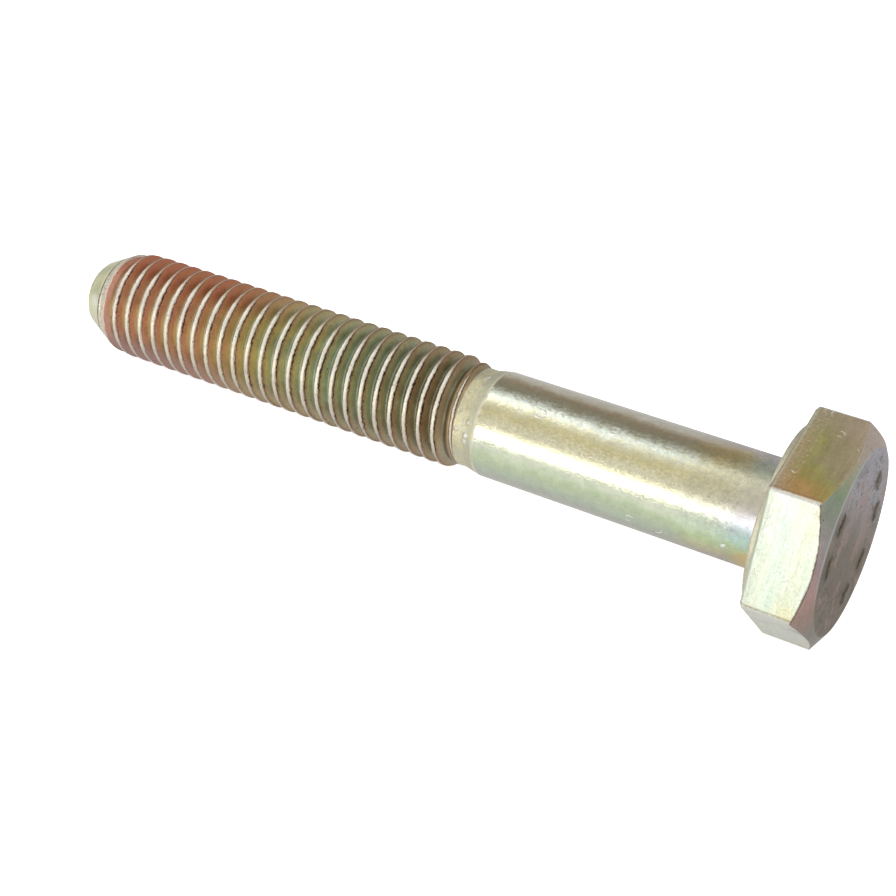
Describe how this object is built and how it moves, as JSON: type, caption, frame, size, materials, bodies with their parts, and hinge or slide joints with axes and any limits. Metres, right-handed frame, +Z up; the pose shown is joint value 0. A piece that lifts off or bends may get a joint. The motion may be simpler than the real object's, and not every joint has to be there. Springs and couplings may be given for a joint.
{
  "type": "hex bolt",
  "caption": "Partly threaded hexagon-head bolt in yellow zinc-plated steel, with a plain shank, a washer face under the head and a coned tip; clamps parts with a nut or tapped hole.",
  "frame": {"origin": "centre of the head's flat top face, on the bolt's axis; the bearing face is at x = -5.8 mm and the tip at x = -74.6 mm", "axes": "+X along the bolt's axis, out of the top of the head; -X runs from the head to the tip; +Z up, square to one wrench flat; +Y completes the right-handed set"},
  "size_m": [0.0746, 0.0194, 0.017],
  "materials": {
    "yellow_zinc_steel": "glossy zinc plating with a yellow iridescent chromate film, from pale gold and mint on the shank to copper red in the thread"
  },
  "bodies": {
    "root": {"hex_bolt": "yellow_zinc_steel"}
  },
  "joints": []
}
